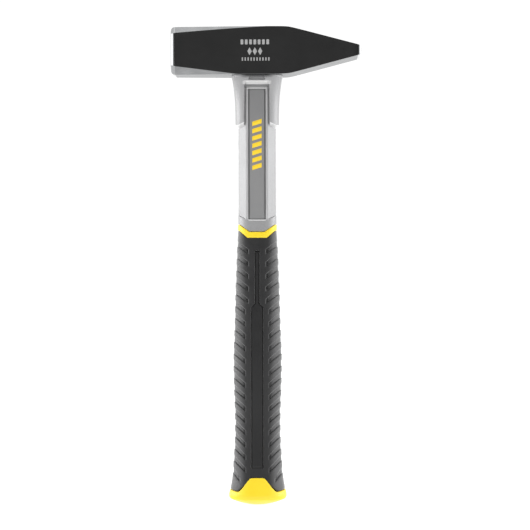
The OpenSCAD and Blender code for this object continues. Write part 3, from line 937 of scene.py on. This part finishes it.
# Rows of one band as (part, place): part 0 counts millimetres down from the upper line, part 1 is a share
# of the fall into the groove and part 2 a share of the groove's floor down to the lower line. The lowest
# band has no groove, and its rows are shares of its whole height.
bandRows = ([(0, place) for place in (0.0, 0.08, 0.18, 0.36, 1.1, 2.0, 2.8)]
            + [(1, place) for place in (-0.2, 0.0, 0.18, 0.36, 0.54, 0.72, 0.88, 1.0)]
            + [(2, place) for place in (0.35, 0.7, 0.8, 0.86, 0.985)])
lastRows = [(3, place) for place in (0, 0.02, 0.05, 0.1, 0.25, 0.4, 0.55, 0.7, 0.82, 0.9, 0.95, 0.975, 1)]
gripColumns = [4.7, 5.3, 5.85, 6.1, 6.25, 6.4, 6.6, 7.0, 7.5, 7.9, 8.1, 8.25, 8.4, 8.6, 9.1]
flankSteps = 24  # columns from there to the side


def slotHalf(z):
    return straightTable(z, zip(gripDims["shoulder"], gripDims["slot"]))


def grooveEnds(k):  # where groove k ends beside the spine
    return gripDims["upperEnds"] if k < gripDims["upperRibs"] else gripDims["lowerEnds"]


# height at x of guide line j: 0 is the ring's edge, then the grooves, then the cap's edge
def guideLine(j, x):
    dims = gripDims
    if j == 0:
        return ringLowEdge(x) - 0.12
    if j > dims["ribs"]:
        return capEdge(x) + 0.25
    silhouette = dims["firstLine"] - dims["pitch"] * (j - 1)
    halfWidth = alongTable(silhouette, handleStations, 1)
    reach = np.maximum(halfWidth - softMax(np.abs(x), grooveEnds(j - 1) - 1.2, 0.8), 0)
    line = silhouette - straightTable(silhouette, grooveSlopes) * reach
    return softMax(line, capEdge(x) + 1.2 + 0.8 * (dims["ribs"] - j), 0.8)


# quarter x and y for rows whose height in the middle is z
def gripQuarter(z):
    slot = slotHalf(z)[:, None]
    beside = slot + 0.22
    near = [slot * np.array([0, 0.5, 0.85]), slot - 0.05, slot + 0.05, beside,
            beside + (gripColumns[0] - beside) * np.array([0.35, 0.7]), np.tile(gripColumns, (len(z), 1))]
    w, d = (alongTable(z, handleStations, k) for k in (1, 2))
    return sectionColumns(np.concatenate(near, 1), flankSteps, w, d, sectionPower(z))


# One band of the grip, from guide line j to the next, as x, y, z and the shares of painted shade and painted
# highlight. A rib steps out of the groove above, falls along a smooth step and ends in the groove's floor
# and crease.
def gripBand(j):
    dims = gripDims
    isLast, hasLastGroove = j == dims["ribs"], j == dims["ribs"] - 1
    part, place = (np.array(v)[:, None] for v in zip(*(lastRows if isLast else bandRows)))
    isCrest, isFall, isFloor = part == 0, part == 1, part == 2
    middleHigh, middleLow = guideLine(j, np.zeros(1))[0], guideLine(j + 1, np.zeros(1))[0]
    guess = np.select([isCrest, isFall, isFloor],
                      [middleHigh - place, middleLow + 5 - 2.2 * place, middleLow + 2.8 * (1 - place)],
                      middleHigh + (middleLow - middleHigh) * place)[:, 0]
    x, y = gripQuarter(guess)
    ends = dims["lastEnds"] if hasLastGroove else grooveEnds(j)

    # heights
    high, low = guideLine(j, x), guideLine(j + 1, x)
    gap = high - low
    across = np.clip((x - ends) / (15.5 - ends), 0, 1)
    scale = np.clip(gap / dims["fullGap"], 0.25, 1)
    start, stop = (low + (near + far * across) * scale
                   for near, far in (dims["fallStart"], dims["fallEnd"]))
    z = np.select([isCrest, isFall, isFloor],
                  [high - place * scale, start + (stop - start) * place, stop + (low - stop) * place],
                  high - gap * place)

    # how far each point is sunk
    flank = smoothStep(0.9, 1.0, x / x[:, -1:])
    amount = straightTable(z, zip((20, 180), dims["depth"])) * (1 - 0.3 * flank)
    crease = dims["crease"] * (1 - 0.9 * flank)
    bluntEnd = 1 - smoothStep(ends + 0.5, ends + 1.3, x)
    lastFade = smoothStep(*dims["lastFade"], x)
    fade = lastFade if hasLastGroove else smoothStep(ends - 0.25, ends + 0.25, x)
    above = lastFade if isLast else smoothStep(grooveEnds(j) - 0.25, grooveEnds(j) + 0.25, x) * (j > 0)
    into = smoothStep(0, 1, place)
    stepOut = straightTable(place, [(0.0, 1), (0.08, 0.35), (0.18, 0.07), (0.36, 0)])
    deep = np.maximum(straightTable(place, [(0.8, 0), (0.86, 1)]), bluntEnd) * crease
    lastStep = straightTable(place, [(0, 1), (0.02, 0.4), (0.05, 0.08), (0.1, 0)])
    lastRim = straightTable(place, [(0.82, 0), (0.9, 0.08), (0.95, 0.22), (0.975, 0.45), (1, 0.9)])
    sink = np.select([isCrest, isFall, isFloor],
                     [stepOut * (above * (amount + crease) if j > 0 else 0.7),
                      into * fade * (amount + crease * bluntEnd), fade * (amount + deep)],
                     lastStep * above * (amount + crease) + lastRim)

    # the section at each point's own height, and the spine's slot
    w, d = (alongTable(z, handleStations, k) for k in (1, 2))
    isNear = np.arange(x.shape[1]) < x.shape[1] - flankSteps
    x = np.where(isNear, x, x * w / x[:, -1:])
    y = sectionDepth(x, w, d, sectionPower(z))
    half = slotHalf(guess)[:, None]
    alongSlot = (z > dims["slotEnds"][0]) & (z < dims["slotEnds"][1])
    inSlot = alongSlot & (x < half - 0.02)
    atRim = alongSlot & (np.abs(x - half - 0.05) < 0.01)
    y = y - np.where(inSlot, dims["slotDepth"], 0) - np.where(atRim, 0.1, 0)

    # painted shade in the creases, the slot and towards each groove's inner end, and painted highlights on a
    # rib's lower rim, its blunt end and the outer flanks
    inner = 1 - smoothStep(ends + 0.8, ends + 6, x)
    paintedShade = np.select([isFloor, isFall, isCrest],
                       [fade * np.maximum(deep / dims["crease"], 0.3 * inner), into * fade * 0.3 * inner,
                        stepOut * above])
    paintedShade = np.where(inSlot | atRim, 1.0, paintedShade)
    # painted highlight that brightens the outer flanks towards the side
    highlightShare = 0.3 * smoothStep(7.5, 13, x)
    if j < dims["ribs"] - 1:
        upperRim = (isFall & (place == 0)) * smoothStep(ends - 0.35, ends - 0.15, x) * inner
        endRim = (isFall | isFloor) * (place >= 0) * band(x, ends - 0.45, ends - 0.15, 0.08)
        highlightShare = np.maximum.reduce([highlightShare, upperRim, 0.35 * endRim])
    return np.stack([x * (1 - sink / w), y * (1 - sink / d), z, paintedShade, highlightShare], -1)


# Guide lines run round the handle, and the rows lie between neighbouring ones, so that every groove keeps
# crisp edges along the mesh
def buildGrip():
    section = wholeSection(np.concatenate([gripBand(j) for j in range(gripDims["ribs"] + 1)]))
    section = withBore(section, gripDims["boreRadius"])
    faces = gridFaces(*section.shape[:2], True)
    attributeTints = {"paintedShade": section[:, :, 3], "paintedHighlight": section[:, :, 4]}
    return makePiece("softGrip", section[:, :, :3], faces, [gripRubber], None, 50, attributeTints)


grip = finishPiece(buildGrip(), "grip_elastomer", "grip")
print("grip moulded:", len(grip.data.polygons), "faces")


# ---- spine inserts

spineDims = {
    "sink": 0.4,        # how far the insert's face lies below the grip
    "gap": 0.6,         # gap to the slot, on every side
    "edge": 0.25,       # rounding of its edges
    "thick": 1.0,
}


# Each insert follows the grip's section at a fixed depth: columns run across it, rows along it, and the
# outer columns round its edges over
def buildSpine(name, side):
    dims = spineDims
    low, high = spineLow[2] + dims["gap"], spineHigh[2] - dims["gap"]
    shoulderLow, shoulderHigh = gripDims["shoulder"]
    edge = dims["edge"]
    z = np.concatenate([[low, low + 0.08, low + edge], np.linspace(low + 1.5, shoulderLow - 0.3, 60),
                        [shoulderLow, shoulderHigh], np.linspace(shoulderHigh + 0.3, high - 1.5, 20),
                        [high - edge, high - 0.08, high]])
    endDrop = np.zeros((len(z), 1))
    endDrop[[0, -1]] = edge
    endDrop[[1, -2]] = edge * 0.3
    half = slotHalf(z)[:, None] - dims["gap"] - 0.03
    topX = np.concatenate([half * np.array([0, 0.35, 0.7]),
                           half - edge * np.array([1, 0.6, 0.3, 0.08, 0])], 1)
    drop = np.array([0, 0, 0, 0, 0.09, 0.29, 0.6, 1.0]) * edge
    w, d = (alongTable(z, handleStations, k)[:, None] for k in (1, 2))
    power = sectionPower(z)[:, None]
    topY = sectionDepth(topX, w, d, power) - dims["sink"] - np.maximum(drop, endDrop)
    backX = half * np.array([1.0, 0.5, 0.0])
    backY = np.tile(sectionDepth(half, w, d, power) - dims["sink"] - dims["thick"], (1, 3))
    x, y = np.concatenate([topX, backX], 1), np.concatenate([topY, backY], 1)
    x, y = np.concatenate([x, -x[:, -2:0:-1]], 1), np.concatenate([y, y[:, -2:0:-1]], 1)
    points = np.stack([x, side * y, np.broadcast_to(z[:, None], x.shape)], -1)
    faces = gridFaces(*x.shape) + endFaces(*x.shape)
    spine = makePiece(name + "SpineInsert", points, faces, [spineRubber], None, 50)
    return finishPiece(spine, "spine_elastomer", "spine_" + name)


for side, name in ((-1, "front"), (1, "back")):
    buildSpine(name, side)
print("spine inserts laid in")


# ---- butt cap

capDims = {
    "stand": 0.15,       # how far the cap's rim stands proud
    "round": 0.4,        # rounding of that rim
    "gap": 0.1,          # gap to the grip
    "half": (18.8, 14.6),   # half width and half depth of the section that gives its columns
    "power": 2.5,
    "level": 6.6,        # height of the level row between the rim and the dome
    "boreRadius": 8.42,
    "boreFloor": 7.0,
}
domeHeights = [6.2, 5.7, 5.25, 4.9, 4.6, 4.3, 4.0, 3.6, 3.2, 2.8, 2.4, 2.0, 1.6, 1.2, 0.8, 0.4, 0.12, 0.0]


# Rows run from the cap's upper edge down to a level one, then round the dome to the small flat at the
# bottom; inside they line a pocket for the carrier
def buildCap():
    dims = capDims
    nearX = np.array([0, 1.2, 2.4, 3.5, 4.2, 4.5, 4.9, 5.6, 6.6, 7.8, 9.0])
    turns = np.radians([0, 20, 40, 60, 90])
    rims = [(1.6, 0.0), (0.8, 0.0)]
    rims += [(dims["round"] * (1 - math.sin(t)), -dims["round"] * (1 - math.cos(t))) for t in turns]
    rows = [(0.0, drop, inset) for inset, drop in rims]
    rows += [(s, 0.0, 0.0) for s in (0.12, 0.25, 0.4, 0.55, 0.7, 0.85, 1.0)]
    share, drop, inset = (np.array(v)[:, None] for v in zip(*rows))
    x, y = sectionColumns(np.tile(nearX, (len(rows), 1)), 34, *dims["half"], dims["power"])
    top = capEdge(x) - dims["gap"] + drop - (share > 0) * dims["round"]
    z = top + (dims["level"] - top) * share
    w, d = (alongTable(z, handleStations, k) + dims["stand"] for k in (1, 2))
    isNear = np.arange(x.shape[1]) < len(nearX)
    x = np.where(isNear, x, x * w / dims["half"][0])
    y = sectionDepth(x, w, d, dims["power"])
    x, y = x * (1 - inset / w), y * (1 - inset / d)
    domeZ = np.array(domeHeights)[:, None]
    stand = dims["stand"] * smoothStep(4.5, 6.5, domeZ)
    domeX = x[-1:] / w[-1:, -1:] * (alongTable(domeZ, handleStations, 1) + stand)
    domeY = y[-1:] / d[-1:, :1] * (alongTable(domeZ, handleStations, 2) + stand)
    x = np.concatenate([x, domeX, domeX[-1:] * 0.6])
    y = np.concatenate([y, domeY, domeY[-1:] * 0.6])
    z = np.concatenate([z, np.broadcast_to(domeZ, domeX.shape), np.zeros_like(domeX[:1])])
    section = wholeSection(np.stack([x, y, z], -1))
    mouth = withBore(section, dims["boreRadius"])[-1:]
    pit = mouth.copy()
    pit[:, :, 2] = dims["boreFloor"]
    section = np.concatenate([pit, mouth, section])
    faces = gridFaces(*section.shape[:2]) + endFaces(*section.shape[:2])
    return makePiece("buttCap", section, faces, [yellowPlastic], None, 42)


finishPiece(buildCap(), "yellow_polypropylene", "butt_cap")
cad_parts["carrier"].data.materials.clear()
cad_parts["carrier"].data.materials.append(carrierPlastic)
print("butt cap fitted")


# ---- floor, light and camera

studioDims = {
    "floorRadius": 12.0,
    "backdrop": 1.05,         # brightness of the background
    "sideLight": 4.6,         # brightness of the surroundings to the left and right
    "verticalLight": 2.0,     # above and below
    "backLight": 1.3,         # straight behind
    "plainLight": 0.04,       # the level everywhere, and all there is from the viewer's side
    "lean": 0.08,             # share by which the left is brighter and the right darker
    "distance": 1.5,
    "lens": 148.5,
    "target": (0.00515, 0.1638),    # x and z that the camera looks at
    "roll": 0.1,              # degrees
    "azimuth": 1.2,           # degrees the camera stands to the right of straight ahead
}


# A round pale floor just under the butt, in rings that widen outwards, bright enough to look white
def buildStage():
    around = 96
    turn = np.linspace(0, 2 * math.pi, around, endpoint=False)
    radii = np.array([0.05, 0.2, 0.6, 1.5, 4.0, studioDims["floorRadius"]]) / mm
    rings = [np.column_stack([r * np.cos(turn), r * np.sin(turn), np.full(around, -0.3)]) for r in radii]
    faces = gridFaces(len(radii), around) + [list(range(around - 1, -1, -1))]
    mesh = bpy.data.meshes.new("studioFloor")
    mesh.from_pydata((np.concatenate(rings) * mm).tolist(), [], [f[::-1] for f in faces])
    material, tree = startMaterial("paleFloor")
    shade = addNode(tree, "TexNoise", {"Vector": patternSpace(tree), "Scale": 1 / 120})
    colour = addNode(tree, "ValToRGB", {"Fac": shade}, stops=[(0.3, "#8c8c8c"), (0.7, "#909090")])
    shader = addNode(tree, "BsdfPrincipled",
                     {"Base Color": colour, "Roughness": 0.9, "Specular IOR Level": 0.1,
                      "Emission Color": (1, 1, 1, 1), "Emission Strength": 0.95})
    addNode(tree, "OutputMaterial", {"Surface": shader})
    mesh.materials.append(material)
    floor = bpy.data.objects.new("studioFloor", mesh)
    bpy.context.scene.collection.objects.link(floor)


# Surroundings like a white tent that is open towards the viewer: the brightness is a plain level plus the
# fourth powers of the direction's X, Z and rearward Y parts, each times its own light
def buildLight():
    dims = studioDims
    world = bpy.data.worlds.new("whiteTent")
    world.use_nodes = True
    tree = world.node_tree
    tree.nodes.clear()
    direction = addNode(tree, "TexCoord", out="Generated")
    x, y, z = addNode(tree, "SeparateXYZ", {0: direction}, out=None).outputs
    rear = addNode(tree, "Math", {0: y, 1: 0.0}, operation="MAXIMUM")
    total = dims["plainLight"]
    for part, level in ((x, dims["sideLight"]), (z, dims["verticalLight"]), (rear, dims["backLight"])):
        even = addNode(tree, "Math", {0: part}, operation="ABSOLUTE")
        steep = addNode(tree, "Math", {0: even, 1: 4.0}, operation="POWER")
        total = addNode(tree, "Math", {0: steep, 1: level, 2: total}, operation="MULTIPLY_ADD")
    lean = addNode(tree, "Math", {0: x, 1: -dims["lean"], 2: 1.0}, operation="MULTIPLY_ADD")
    leaning = addNode(tree, "Math", {0: total, 1: lean}, operation="MULTIPLY")
    tent = addNode(tree, "Background", {"Color": (1, 1, 1, 1), "Strength": leaning})
    plain = addNode(tree, "Background", {"Color": (1, 1, 1, 1), "Strength": dims["backdrop"]})
    isCamera = addNode(tree, "LightPath", out="Is Camera Ray")
    mix = addNode(tree, "MixShader", {0: isCamera, 1: tent, 2: plain})
    addNode(tree, "OutputWorld", {"Surface": mix})
    bpy.context.scene.world = world
    bpy.context.scene.view_settings.view_transform = "Standard"


# The camera stands on a circle round the hammer and looks level at the target
def buildCamera():
    dims = studioDims
    data = bpy.data.cameras.new("camera")
    data.lens = dims["lens"]
    data.clip_end = 40
    camera = bpy.data.objects.new("camera", data)
    turn = math.radians(dims["azimuth"])
    sideways, height = dims["target"]
    camera.location = (sideways * math.cos(turn) + dims["distance"] * math.sin(turn),
                       sideways * math.sin(turn) - dims["distance"] * math.cos(turn), height)
    camera.rotation_euler = (math.pi / 2, math.radians(dims["roll"]), turn)
    bpy.context.scene.collection.objects.link(camera)
    bpy.context.scene.camera = camera


buildStage()
buildLight()
buildCamera()
print("stage, light and camera set")
